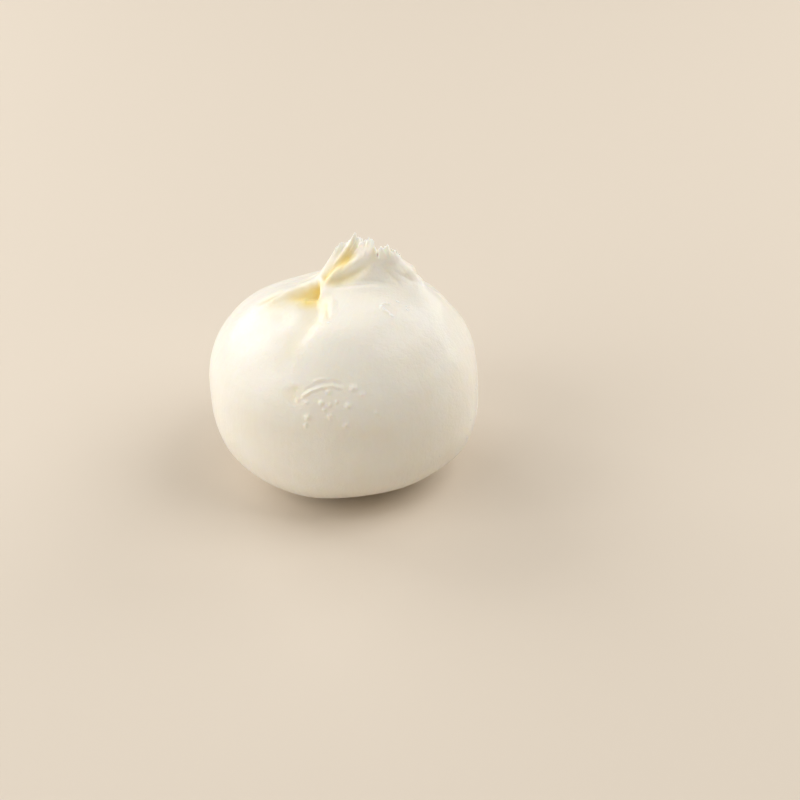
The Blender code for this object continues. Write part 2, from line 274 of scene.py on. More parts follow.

# Where the fold colour is laid on beside the folds, partly as cream and partly as painted shade:
# how much, and how far it reaches.
TINGES = (
    Tinge((-10.5, -3.4, 61.5), 0.55, 3.2),
    Tinge((-23.0, 2.0, 59.5), 0.2, 3.0),
    Tinge((-0.8, 4.8, 70.6), 0.25, 2.4),
    # painted shade on the bright pinch where the pocket meets the front lobe
    Tinge((-6.3, 3.0, 65.0), 0.35, 1.7),
    Tinge((-9.5, 1.0, 63.0), 0.45, 3.0),
)

# How the tint falls off beside a fold, where less than 1 is wider than the fold itself.
TINT_EDGE = 0.65

# How far off the skin a fold's route may lie, in mm.
OFF_SKIN = 3.0

# Pleats gathered into the back of the neck. Azimuths, half widths to the left and the right,
# and the turn for each mm down the skin are in degrees, depth and reach in mm.
PLEATS = (
    Pleat(14.0, 0.3, 6.0, 8.0, 24.0, 0.4),
    Pleat(40.0, 1.8, 5.0, 14.0, 38.0, 0.5),
    Pleat(66.0, 0.7, 5.0, 5.0, 20.0, 0.2),
    Pleat(88.0, 2.3, 16.0, 6.0, 44.0, 0.6),
    Pleat(114.0, 0.9, 5.0, 6.0, 22.0, 0.1),
    Pleat(134.0, 2.0, 6.0, 15.0, 40.0, -0.4),
    Pleat(160.0, 1.0, 9.0, 5.0, 28.0, -0.3),
)

# Where a pleat begins below the rim and how far it takes to set in, both in mm, over what share
# of its reach it fades, and how much tint it shows for each mm of its depth up to DEEP_PLEAT.
PLEAT_START = -1.5
PLEAT_SET_IN = 8.5
PLEAT_FADE = 0.8
# The pleats' tint is partly the cream's own colour and partly painted shade in their creases.
PLEAT_TINT = 0.25
DEEP_PLEAT = 1.0

# Finer wrinkles drawn at random among those pleats: how many, the range of each size, how far
# they turn either way, and the seed.
FINE_PLEATS = 34
FINE_PLEAT_AZIMUTHS = (8.0, 160.0)
FINE_PLEAT_DEPTHS = (0.12, 0.38)
FINE_PLEAT_WIDTHS = (1.0, 2.6)
FINE_PLEAT_REACHES = (12.0, 34.0)
FINE_PLEAT_TURN = 0.5
FINE_PLEAT_SEED = 7

# The torn rim, point by point round the neck, as an azimuth and a place: a thin flap to the
# left and the back that ends in the highest tip, a valley between it and the front sheet, and
# two more tips on the right.
RIM = (
    (5.0, 18.6, 8.8, 71.4),
    (30.0, 16.8, 10.8, 72.4),
    (55.0, 14.0, 11.2, 72.0),
    (75.0, 11.6, 11.2, 71.9),
    (92.0, 9.2, 11.7, 73.1),
    (106.0, 6.8, 12.4, 75.4),
    (118.0, 4.6, 12.4, 76.8),
    (132.0, 2.9, 12.2, 75.6),
    (148.0, 1.2, 11.8, 74.5),
    (165.0, -1.0, 11.2, 73.9),
    (180.0, -2.2, 10.0, 73.6),
    (190.0, 0.2, 10.0, 75.3),
    (200.0, 2.0, 9.8, 75.7),
    (208.0, 3.2, 9.5, 77.6),
    (216.0, 4.8, 9.4, 79.1),
    (223.0, 5.6, 9.1, 78.1),
    (230.0, 5.8, 8.5, 76.6),
    (238.0, 6.8, 8.0, 77.0),
    (246.0, 7.6, 7.6, 77.8),
    (255.0, 8.5, 7.2, 78.5),
    (264.0, 9.6, 6.5, 78.8),
    (272.0, 10.5, 6.0, 78.5),
    (281.0, 11.2, 5.8, 77.6),
    (292.0, 12.4, 5.8, 76.8),
    (304.0, 13.8, 5.8, 76.5),
    (316.0, 15.0, 6.2, 76.2),
    (327.0, 16.0, 6.5, 75.1),
    (338.0, 17.2, 7.0, 74.0),
)

# How the neck is drawn to its rim: by which power of the way up, and from which height on.
RIM_PULL = 1.6
RIM_PULL_FROM = 62.6

# The larger tears and tips of the rim: how far each stands above it, in mm, and how many
# degrees wide it is to each side. A negative rise is a tear. All fade out down the neck.
TEARS = (
    Tear(284.0, -2.9, 6.0),
    Tear(229.0, -0.8, 4.5),
    Tear(311.0, 1.0, 2.2),
    Tear(301.0, -0.5, 2.6),
    Tear(215.0, 0.5, 2.2),
    Tear(219.2, -1.1, 1.4),
    Tear(222.3, 0.7, 1.6),
    Tear(118.0, -0.9, 3.0),
    Tear(258.0, 0.5, 2.4),
    Tear(190.0, 0.4, 2.6),
    Tear(197.0, -0.5, 2.0),
    Tear(156.0, -0.6, 3.4),
    Tear(139.0, -0.7, 2.6),
    Tear(70.0, 0.9, 4.0),
    Tear(44.0, -0.9, 3.4),
    Tear(24.0, 0.7, 3.0),
)
TEAR_FADE = 3.2

# The frays of the torn edge: how wide, and what share of the frays' height each size has, how
# high and how sharp their tips are, how low they reach as a share of that height, how far down
# they fade, and after how many such lengths they end.
FRAYS = ((2.2, 0.50), (1.0, 0.75), (0.5, 0.35))
FRAY_TIP = 0.5
FRAY_SHARPNESS = 2.0
FRAY_LOWEST = -0.35
FRAY_FADE = 1.1
FRAY_END = 2.5

# Curdy lumps along the rim: how wide, and what share of the lumps' height each size has, how
# far down they fade, the seed of their noise, how thick the neck is where they have their full
# height, how much of it goes along X, Y and Z, and the least strength that still moves a point.
LUMPS = ((1.7, 0.60), (0.8, 0.30), (0.45, 0.10))
LUMP_FADE = 1.8
LUMP_SEED = 8
THICK_ENOUGH = 2.4
LUMP_WAYS = (0.8, 0.8, 1.0)
LEAST_LUMP = 0.001

# Slow unevenness of the stretched skin: how wide and how high.
WAVES = ((16.0, 0.22), (7.0, 0.07), (3.0, 0.018))

# Where whey drops gather: an azimuth and a spread in degrees, a height range in mm, and how
# many of them.
DROP_GROUPS = (
    DropGroup(346.0, 8.0, 22.0, 36.0, 7),
    DropGroup(312.0, 16.0, 6.0, 14.0, 9),
    DropGroup(200.0, 30.0, 8.0, 20.0, 8),
    DropGroup(110.0, 40.0, 8.0, 30.0, 12),
)
DROP_SEED = 5

# Drops on the crown and along the belly's right side, whose near-white colour paints glints
# there:
# place and share of the size.
DROP_TRAIL = (
    ((12.4, -11.2, 62.9), 0.96),
    ((12.7, -12.2, 62.7), 0.77),
    ((13.3, -13.4, 62.4), 0.89),
    ((14.2, -14.0, 62.2), 0.70),
    ((15.1, -14.9, 61.7), 1.15),
    ((13.6, -9.6, 63.2), 0.65),
    ((14.9, -9.7, 63.2), 0.77),
    ((17.6, -7.2, 63.4), 0.96),
    ((20.4, -8.6, 62.6), 0.70),
    ((20.6, -10.3, 62.2), 0.80),
    ((-3.8, -17.2, 61.4), 0.77),
    ((42.7, -7.5, 33.0), 0.70),
    ((43.3, -2.8, 33.2), 0.45),
    ((42.1, -10.5, 31.8), 0.55),
    ((39.0, -17.8, 19.4), 0.80),
    ((30.2, -29.9, 20.5), 0.50),
    ((19.1, -35.4, 14.2), 0.70),
    ((16.0, -36.8, 14.0), 0.45),
    ((25.0, -33.1, 17.4), 0.40),
)

# The shape of a drop: its size, its length against its width in a group and in a trail, how
# flat it is, and how much of its half height sits in the skin.
DROP_SIZES = (0.45, 1.0)
DROP_LENGTHS = (0.8, 1.25)
TRAIL_LENGTHS = (0.8, 1.6)
DROP_FLATNESS = 0.42
DROP_SINK = 0.25

# The skin's grain runs from the foot to the neck, because its noise is read on a long tube: how
# wide the tube is, and how long for each mm of skin.
GRAIN_AROUND = 14.0
GRAIN_ALONG = 0.035

# The colour sockets of a mix node, which share their names with others.
MIX_INPUTS = (6, 7)
MIX_OUTPUT = 2

# The skin's material: the noises' scales, each bump's depth in metres and its strength, and how
# the curd turns warmer in its mottles, paler in its streaks and rougher where it is torn.
MOTTLE_SCALE = 90.0
SPECKLE_SCALE = 1500.0
PORE_SCALE = 420.0
STREAK_SCALE = 3.0
SPECKLE_BUMP = (0.0001, 0.8)
PORE_BUMP = (0.00022, 0.8)
STREAK_BUMP = (0.00005, 0.4)
WARM_CURD = (0.99, 0.975, 0.94)
PALE_CURD = (0.93, 0.905, 0.84, 1.0)
STREAKS_PALE = 0.4
TORN_ROUGHNESS = 0.22
CURD_VALUES = {
    "IOR": 1.42,
    "Coat Roughness": 0.14,
    "Coat IOR": 1.34,
    "Subsurface Weight": 0.6,
    "Subsurface Radius": (1.0, 0.80, 0.50),
    "Subsurface Scale": 0.0016,
}

# The whey's material: how fine its cloud is, how the cloud dims it, and how it bends light.
CLOUD_SCALE = 900.0
DIM_WHEY = (0.97, 0.96, 0.92)
WHEY_IOR = 1.36

# The floor: its patches' scale, how much lighter they are, how rough it is, and its sides.
FLOOR_PATCH_SCALE = 3.0
FLOOR_LIGHTER = 1.02
FLOOR_ROUGHNESS = 0.7
FLOOR_SEGMENTS = 96

# The soft lights, in metres: the setting with each one's power, its place and its size.
LIGHTS = (
    Light("side_light", "side_power", (-0.85, 0.12, 0.45), 0.9),
    Light("front_light", "front_power", (-0.75, -0.45, 0.50), 0.8),
    Light("top_light", "top_power", (0.60, -0.10, 0.80), 0.75),
    Light("left_back_light", "back_left_power", (-0.60, 0.65, 0.50), 0.7),
    Light("right_back_light", "back_right_power", (0.70, 0.60, 0.40), 0.7),
)
LIGHT_AIM = (0.0, 0.0, 0.035)

# The camera looks down at the cheese from the front: where it aims, in metres, how far away it
# stands, how far above the horizon, and how far it leans. The sensor's width is in mm.
CAMERA_AIM = (0.01795, 0.0, 0.0229)
CAMERA_DISTANCE = 0.9534
CAMERA_ELEVATION = math.radians(31.826)
CAMERA_LEAN = math.radians(-1.02)
SENSOR_WIDTH = 36.0
CLIP_START = 0.01


def colour_of(name, default, description):
    """A colour setting."""
    return FloatVectorProperty(name=name, size=4, default=default, min=0.0, max=1.0,
                               subtype="COLOR", description=description)


def power_of(name, default, description):
    """The power of a light, in watts."""
    return FloatProperty(name=name, default=default, min=0.0, unit="POWER",
                         description=description)


class CurdSettings(PropertyGroup):
    """Sizes and colours of the cheese that a user would change."""

    fold_depth: FloatProperty(
        name="Fold depth", default=1.0, min=0.0, max=1.3, subtype="FACTOR",
        description="How deep the folds and pleats are, where 1 is as gathered")
    fray_height: FloatProperty(
        name="Fray height", default=0.0009, min=0.0, max=0.002, unit="LENGTH",
        description="How high the frays stand along the torn rim")
    lump_height: FloatProperty(
        name="Lump height", default=0.0006, min=0.0, max=0.0015, unit="LENGTH",
        description="How high the curdy lumps stand where the neck was torn")
    drop_size: FloatProperty(
        name="Drop size", default=0.0006, min=0.0002, max=0.0015, unit="LENGTH",
        description="Radius of the larger whey drops")
    drop_rings: IntProperty(
        name="Drop rings", default=8, min=4, max=16,
        description="How many rings of faces a whey drop has")
    curd_colour: colour_of("Curd", (0.895, 0.862, 0.785, 1.0), "Colour of the stretched skin")
    # The fold colour is partly the cream's own colour and partly painted shade: it is laid darker
    # and yellower into the creases and pockets where shade falls.
    cream_and_shade_colour: colour_of(
        "Folds", (0.91, 0.73, 0.28, 1.0), "Colour of the cream that shows in the deep folds")
    torn_colour: colour_of("Torn curd", (0.95, 0.93, 0.85, 1.0), "Colour of the torn edge")
    # The whey is near white and lighter than the curd, so that the drops are whey drops and
    # painted glints at once.
    whey_glint_colour: colour_of("Whey", (0.97, 0.97, 0.95, 1.0), "Colour of the whey drops")


class StageSettings(PropertyGroup):
    """The floor, the lights and the camera."""

    floor_colour: colour_of("Floor", (0.70, 0.62, 0.52, 1.0), "Colour of the pale floor")
    floor_radius: FloatProperty(
        name="Floor radius", default=0.8, min=0.5, unit="LENGTH",
        description="How far the floor runs from the cheese")
    side_power: power_of("Side light", 3.4, "Power of the large soft light to the left")
    front_power: power_of("Front light", 4.3, "Power of the soft light to the left of the camera")
    top_power: power_of("Top light", 5.2, "Power of the soft light above and to the right")
    back_left_power: power_of(
        "Left back light", 4.3, "Power of the soft light behind and to the left")
    back_right_power: power_of(
        "Right back light", 3.7, "Power of the soft light behind and to the right")
    room_colour: colour_of(
        "Room colour", (1.0, 0.85, 0.63, 1.0), "Colour of the even light of the room")
    room_light: FloatProperty(
        name="Room light", default=0.155, min=0.0, max=2.0,
        description="How bright the even light of the room is")
    wall_colour: colour_of(
        "Wall", (0.75, 0.685, 0.60, 1.0), "Colour of the plain wall far behind the floor")
    lens: FloatProperty(
        name="Lens", default=132.35, min=20.0, max=300.0, unit="CAMERA",
        description="Focal length of the camera")


def round_station(height, radius):
    """An oval of the body, a little shallower than it is wide."""
    return Station(height, radius, radius * DEPTH_SHARE, 0.0, 0.0)


def stations():
    """Every oval of the skin from the middle of the foot to the rim, as rows of an array."""
    rows = [round_station(0.0, 0.0), round_station(0.0, FOOT_RADIUS)]
    for level in FOOT_LEVELS:
        radius = BELLY_RADIUS * math.sqrt(1 - abs(level) ** FOOT_ROUNDNESS)
        rows.append(round_station(BELLY_HEIGHT * (1 + level), radius))
    for level in CROWN_LEVELS:
        radius = BELLY_RADIUS * math.sqrt(1 - level ** CROWN_ROUNDNESS)
        rows.append(round_station(BELLY_HEIGHT + CROWN_RISE * level, radius))
    return np.array(rows + list(SHOULDER_AND_NECK))


def arc_lengths(rows):
    """How far along the skin each station lies."""
    steps = np.hypot(np.diff(rows[:, 0]), np.diff(rows[:, 1] + rows[:, 2]) / 2)
    return np.concatenate([[0.0], np.cumsum(steps)])


def smooth_through(knots, values, at):
    """A smooth curve through the values that never swings past them."""
    gaps = np.diff(knots)
    slopes = np.diff(values) / gaps
    tangents = np.zeros_like(values)
    for i in range(1, len(knots) - 1):
        if slopes[i - 1] * slopes[i] > 0:
            before = 2 * gaps[i] + gaps[i - 1]
            after = gaps[i] + 2 * gaps[i - 1]
            tangents[i] = (before + after) / (before / slopes[i - 1] + after / slopes[i])
    tangents[0] = slopes[0]
    tangents[-1] = slopes[-1]
    i = np.clip(np.searchsorted(knots, at) - 1, 0, len(gaps) - 1)
    t = (at - knots[i]) / gaps[i]
    rise = values[i] + (values[i + 1] - values[i]) * t * t * (3 - 2 * t)
    ease = t * (1 - t) * ((1 - t) * tangents[i] - t * tangents[i + 1])
    return rise + ease * gaps[i]


def smooth_step(values):
    """An ease from 0 to 1, held at both ends."""
    t = np.clip(values, 0.0, 1.0)
    return t * t * (3 - 2 * t)


def ring_spacing(arcs):
    """Arc length of every ring up to the rim: wide rings on the body, narrow ones at the neck."""
    neck_arc = arcs[-len(SHOULDER_AND_NECK)]
    body = np.linspace(0.0, neck_arc, RINGS_BODY + 1)
    neck = np.linspace(neck_arc, arcs[-1], RINGS_NECK + 1)
    return np.concatenate([body, neck[1:]])


def spin_tube():
    """A plain tube, one unit round, whose rings get their sizes later."""
    bm = bmesh.new()
    last = RINGS_BODY + RINGS_NECK + len(HOLLOW_SHARES)
    chain = [bm.verts.new((1.0, 0.0, float(ring))) for ring in range(last + 1)]
    edges = [bm.edges.new(pair) for pair in zip(chain, chain[1:])]
    bmesh.ops.spin(bm, geom=chain + edges, cent=(0, 0, 0), axis=(0, 0, 1), dvec=(0, 0, 0),
                   angle=2 * math.pi, steps=DIVISIONS_ROUND, use_merge=True)
    return bm


def halve(bm, edges):
    """Cuts the edges in two, and the faces between them in four."""
    bmesh.ops.subdivide_edges(bm, edges=edges, cuts=1, use_grid_fill=True)


def halve_patch(bm, patch, arcs, heights, spacing):
    """Halves the tube's faces inside one patch, given by its azimuth and height."""
    low, high = np.interp((patch.low, patch.high), heights, arcs)
    edges = set()
    for face in bm.faces:
        middle = face.calc_center_median()
        arc = np.interp(middle.z, np.arange(len(spacing)), spacing)
        turn = degrees_from(math.atan2(middle.y, middle.x), patch.azimuth)
        if low <= arc <= high and abs(turn) <= patch.spread:
            edges.update(face.edges)
    halve(bm, [edge for edge in bm.edges if edge in edges])


def close_ends(bm):
    """Closes the foot at one point and the hollow's floor with one face."""
    foot = [vert for vert in bm.verts if vert.co.z < ON_RING]
    bmesh.ops.pointmerge(bm, verts=foot, merge_co=(0.0, 0.0, 0.0))
    bmesh.ops.holes_fill(bm, edges=[edge for edge in bm.edges if edge.is_boundary])
    bmesh.ops.recalc_face_normals(bm, faces=bm.faces)


def draw_in(azimuth, arc, rows, arcs):
    """Places of the skin's points on the plain pouch, before any fold or swell."""
    height, half_width, half_depth, right, back = (
        smooth_through(arcs, rows[:, column], arc) for column in range(5))
    x = right + half_width * np.cos(azimuth)
    y = back + half_depth * np.sin(azimuth)
    return np.stack([x, y, height], axis=-1)


def set_places(bm, places):
    """Puts every point in its place."""
    for vert, place in zip(bm.verts, places):
        vert.co = place
    bm.normal_update()


def outward(bm):
    """The way out of the skin at each point."""
    return np.array([vert.normal for vert in bm.verts])


def swell(base, out, lumps):
    """Lumps and hollows of the skin, broad or small."""
    move = np.zeros_like(base)
    for lump in lumps:
        gaps = np.sum((base - np.array(lump.centre)) ** 2, axis=1)
        centre = base[np.argmin(gaps)] if lump.reach < SMALL_REACH else np.array(lump.centre)
        near = np.exp(-np.sum((base - centre) ** 2, axis=1) / lump.reach ** 2)
        move += out * (lump.rise * near)[:, None]
    return move * smooth_step(base[:, 2] / FOOT_EDGE)[:, None]


def fold_strength(base, out, fold):
    """How strongly one fold presses each point, from 0 to 1 on the route itself."""
    points = np.array(fold.route)
    spans = points[1:] - points[:-1]
    lengths = np.linalg.norm(spans, axis=1)
    travelled = np.concatenate([[0.0], np.cumsum(lengths)])
    nearest = np.full(len(base), np.inf)
    across = np.zeros(len(base))
    along = np.zeros(len(base))
    for start, span, length, done in zip(points, spans, lengths, travelled):
        t = np.clip((base - start) @ span / length ** 2, 0.0, 1.0)
        gap = base - start - t[:, None] * span
        off = np.sum(gap * out, axis=1)
        flat = gap - out * np.where(np.abs(off) < OFF_SKIN, off, 0.0)[:, None]
        distance = np.linalg.norm(flat, axis=1)
        side = np.sign(np.sum(np.cross(out, span) * gap, axis=1))
        closer = distance < nearest
        nearest[closer] = distance[closer]
        across[closer] = (side * distance)[closer]
        along[closer] = (done + t * length)[closer]
    share = along / travelled[-1]
    reach = np.where(across > 0, fold.left, fold.right)
    strength = smooth_step(share / fold.set_in) * smooth_step((1 - share) / fold.fade)
    return strength * np.exp(-np.abs(across / reach) ** fold.edge)


def degrees_from(azimuth, centre):
    """How many degrees each azimuth lies past a centre, from -180 to 180."""
    return (np.degrees(azimuth) - centre + 180.0) % 360.0 - 180.0


def pleat_strength(azimuth, down, pleat):
    """How strongly one pleat presses each point. It turns a little as it runs out."""
    gap = degrees_from(azimuth, pleat.azimuth + pleat.turn * down)
    width = np.where(gap > 0, pleat.left, pleat.right)
    set_in = smooth_step((down - PLEAT_START) / PLEAT_SET_IN)
    fade = smooth_step((pleat.reach - down) / (PLEAT_FADE * pleat.reach))
    return set_in * fade * np.exp(-(gap / width) ** 2)


def fine_pleats():
    """The finer wrinkles round the back and the sides of the neck."""
    draw = random.Random(FINE_PLEAT_SEED)
    pleats = []
    for _ in range(FINE_PLEATS):
        azimuth = draw.uniform(*FINE_PLEAT_AZIMUTHS)
        depth = draw.uniform(*FINE_PLEAT_DEPTHS)
        width = draw.uniform(*FINE_PLEAT_WIDTHS)
        reach = draw.uniform(*FINE_PLEAT_REACHES)
        turn = draw.uniform(-FINE_PLEAT_TURN, FINE_PLEAT_TURN)
        pleats.append(Pleat(azimuth, depth, width, width, reach, turn))
    return pleats


def rim_loop(azimuth):
    """The place of the torn rim above each point, before it is frayed."""
    points = np.array(RIM)
    turns = np.concatenate([points[:, 0] - 360.0, points[:, 0], points[:, 0] + 360.0])
    loop = np.tile(points[:, 1:], (3, 1))
    at = np.degrees(azimuth) % 360.0
    return np.stack([smooth_through(turns, loop[:, axis], at) for axis in range(3)], axis=-1)


def pull_to_rim(azimuth, base, rim):
    """Moves that pull the neck's oval to the torn rim, more and more towards the top."""
    top = np.array(SHOULDER_AND_NECK[-1])
    oval = np.stack([top[3] + top[1] * np.cos(azimuth), top[4] + top[2] * np.sin(azimuth),
                     np.full(len(azimuth), top[0])], axis=-1)
    share = np.clip((base[:, 2] - RIM_PULL_FROM) / (top[0] - RIM_PULL_FROM), 0.0, 1.0)
    return (rim - oval) * (share ** RIM_PULL)[:, None]


def tear_rim(azimuth, down):
    """How high the larger tips of the torn rim stand. Its tears come out negative."""
    rise = np.zeros(len(azimuth))
    for tear in TEARS:
        rise += tear.rise * np.exp(-(degrees_from(azimuth, tear.azimuth) / tear.width) ** 2)
    return rise * np.exp(-(down / TEAR_FADE) ** 2)


def fray_rim(rim, down, height):
    """How high the frays of the torn rim stand, sharp at their tips."""
    total = np.zeros(len(rim))
    for i in np.flatnonzero(down < FRAY_END * FRAY_FADE):
        for width, share in FRAYS:
            ridge = abs(noise.noise(Vector(rim[i]) / width))
            total[i] += share * (FRAY_TIP - FRAY_SHARPNESS * ridge)
    return height * np.maximum(total, FRAY_LOWEST) * np.exp(-(down / FRAY_FADE) ** 2)


def lump_moves(places, strength):
    """Curdy lumps of several sizes, as moves for each place, mostly up and down."""
    noise.seed_set(LUMP_SEED)
    moves = np.zeros_like(places)
    for i in np.flatnonzero(strength > LEAST_LUMP):
        for width, share in LUMPS:
            moves[i] += share * np.array(noise.noise_vector(Vector(places[i]) / width))
    return moves * LUMP_WAYS * strength[:, None]


def wave_skin(base, out):
    """Slow waves that keep the skin from being too even."""
    rise = np.zeros(len(base))
    for width, height in WAVES:
        rise += height * np.array([noise.noise(Vector(place) / width) for place in base])
    return out * (rise * smooth_step(base[:, 2] / FOOT_EDGE))[:, None]


def hollow_floor(rim):
    """The place on the line along the hollow's floor that lies beside each point of the rim."""
    line = np.array(HOLLOW_FLOOR)
    along = np.clip(rim[:, 0], line[0, 0], line[-1, 0])
    return np.stack([np.interp(along, line[:, 0], line[:, axis]) for axis in range(3)], axis=-1)


def sink_hollow(ring, azimuth, places):
    """Lays the rings beyond the rim inwards and down from it, towards the hollow's floor."""
    rim_ring = RINGS_BODY + RINGS_NECK
    rim = np.abs(ring - rim_ring) < ON_RING
    order = np.argsort(azimuth[rim])
    angles = azimuth[rim][order]
    edge = places[rim][order]
    inner = ring > rim_ring + ON_RING
    inward = np.interp(ring[inner] - rim_ring, np.arange(len(HOLLOW_SHARES) + 1),
                       (0.0,) + HOLLOW_SHARES)[:, None]
    loop = np.stack([np.interp(azimuth[inner], angles, edge[:, axis], period=2 * math.pi)
                     for axis in range(3)], axis=-1)
    floor = hollow_floor(loop)
    places[inner] = loop + (floor - loop) * inward
    places[inner, 2] = (floor + (loop - floor) * (1 - inward) ** HOLLOW_STEEPNESS)[:, 2]


def stand_up(places):
    """Centres the pouch over the middle of the frame's box, in metres, with its foot at 0."""
    low, high = (np.array(corner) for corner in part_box(CAD_NODE))
    places = places * MM
    middle = (places.min(axis=0) + places.max(axis=0)) / 2
    places[:, :2] += (low + high)[:2] / 2 - middle[:2]
    places[:, 2] = np.maximum(places[:, 2], 0.0) + low[2]
    return places


def shape_skin(settings):
    """The whole skin: a spun tube, drawn in to the pouch's ovals, folded, gathered and torn."""
    rows = stations()
    arcs = arc_lengths(rows)
    spacing = ring_spacing(arcs)
    bm = spin_tube()
    halve(bm, bm.edges[:])
    for patch in PATCHES:
        halve_patch(bm, patch, arcs, rows[:, 0], spacing)
    close_ends(bm)

    tube = np.array([vert.co for vert in bm.verts])
    azimuth = np.arctan2(tube[:, 1], tube[:, 0])
    ring = tube[:, 2]
    arc = np.interp(ring, np.arange(len(spacing)), spacing)
    down = arcs[-1] - arc
    base = draw_in(azimuth, arc, rows, arcs)
    set_places(bm, base)
    out = outward(bm)

    places = base + swell(base, out, SWELLS) + swell(base, out, BUMPS) + wave_skin(base, out)
    # The tint lays the fold colour along the folds and pleats by how hard they press, and round
    # the tinges: partly the cream's own colour, partly painted shade in the creases.
    tint = np.zeros(len(base))
    for fold in FOLDS:
        strength = fold_strength(base, out, fold)
        places -= out * (settings.fold_depth * fold.depth * strength)[:, None]
        tint += fold.tint * strength ** TINT_EDGE
    for pleat in list(PLEATS) + fine_pleats():
        strength = pleat_strength(azimuth, down, pleat)
        places -= out * (settings.fold_depth * pleat.depth * strength)[:, None]
        tint += PLEAT_TINT * min(pleat.depth, DEEP_PLEAT) * strength
    for tinge in TINGES:
        near = np.sum((places - np.array(tinge.centre)) ** 2, axis=1)
        tint += tinge.amount * np.exp(-near / tinge.reach ** 2)
    rim = rim_loop(azimuth)
    places += pull_to_rim(azimuth, base, rim)
    places[:, 2] += tear_rim(azimuth, down) + fray_rim(rim, down, settings.fray_height / MM)
    torn = np.exp(-(down / LUMP_FADE) ** 2)
    thickness = np.linalg.norm((rim - hollow_floor(rim))[:, :2], axis=1)
    lump_height = settings.lump_height / MM * smooth_step(thickness / THICK_ENOUGH)
    places += lump_moves(places, lump_height * torn)
    sink_hollow(ring, azimuth, places)
    inside = smooth_step((ring - RINGS_BODY - RINGS_NECK) / HOLLOW_LUMPS_RINGS)
    places += lump_moves(places, HOLLOW_LUMPS * lump_height * inside)

    grain = np.stack([np.cos(azimuth) * GRAIN_AROUND, np.sin(azimuth) * GRAIN_AROUND,
                      arc * GRAIN_ALONG], axis=-1)
    return bm, places, {"fold_tint": np.clip(tint, 0.0, 1.0), "torn": torn, "grain": grain}


def add_node(tree, kind, inputs=None, **settings):
    """A shader node with its settings and the values of its sockets."""
    node = tree.nodes.new(kind)
    for name, value in settings.items():
        setattr(node, name, value)
    for name, value in (inputs or {}).items():
        node.inputs[name].default_value = value
    return node


def new_material(name):
    """A new material with its node tree and its shader."""
    material = bpy.data.materials.new(name)
    material.use_nodes = True
    tree = material.node_tree
    return material, tree, tree.nodes["Principled BSDF"]


def feed(tree, socket, source):
    """Links a socket to the one that feeds it, or gives it a value."""
    if isinstance(source, bpy.types.NodeSocket):
        tree.links.new(source, socket)
    else:
        socket.default_value = source


def mix_colours(tree, share, first, second):
    """A mix of two colours. The share is a socket, and each colour a socket or a value."""
    node = add_node(tree, "ShaderNodeMix", data_type="RGBA")
    tree.links.new(share, node.inputs["Factor"])
    for index, colour in zip(MIX_INPUTS, (first, second)):
        feed(tree, node.inputs[index], colour)
    return node.outputs[MIX_OUTPUT]


def tinted(colour, tint):
    """A colour with each of its parts scaled, and none brighter than 1."""
    return tuple(min(part * scale, 1.0) for part, scale in zip(colour, tint)) + (1.0,)


def spread(tree, value, low, high, out_low=0.0, out_high=1.0):
    """A value spread softly from one range to another, and held inside it."""
    node = add_node(tree, "ShaderNodeMapRange", interpolation_type="SMOOTHSTEP", inputs={
        "From Min": low, "From Max": high, "To Min": out_low, "To Max": out_high})
    tree.links.new(value, node.inputs["Value"])
    return node.outputs["Result"]


def noise_at(tree, place, scale, detail=3.0, roughness=0.5):
    """A noise texture that is read at a place."""
    node = add_node(tree, "ShaderNodeTexNoise", {
        "Scale": scale, "Detail": detail, "Roughness": roughness})
    tree.links.new(place, node.inputs["Vector"])
    return node.outputs["Fac"]


def calculate(tree, operation, first, second):
    """A sum or a product. Each term is a socket or a value."""
    node = add_node(tree, "ShaderNodeMath", operation=operation)
    for socket, value in zip(node.inputs, (first, second)):
        feed(tree, socket, value)
    return node.outputs["Value"]


def add_bump(tree, height, bump, before=None):
    """A bump of one distance and strength, on top of the one before."""
    distance, strength = bump
    node = add_node(tree, "ShaderNodeBump", {"Distance": distance, "Strength": strength})
    tree.links.new(height, node.inputs["Height"])
    if before is not None:
        tree.links.new(before, node.inputs["Normal"])
    return node.outputs["Normal"]


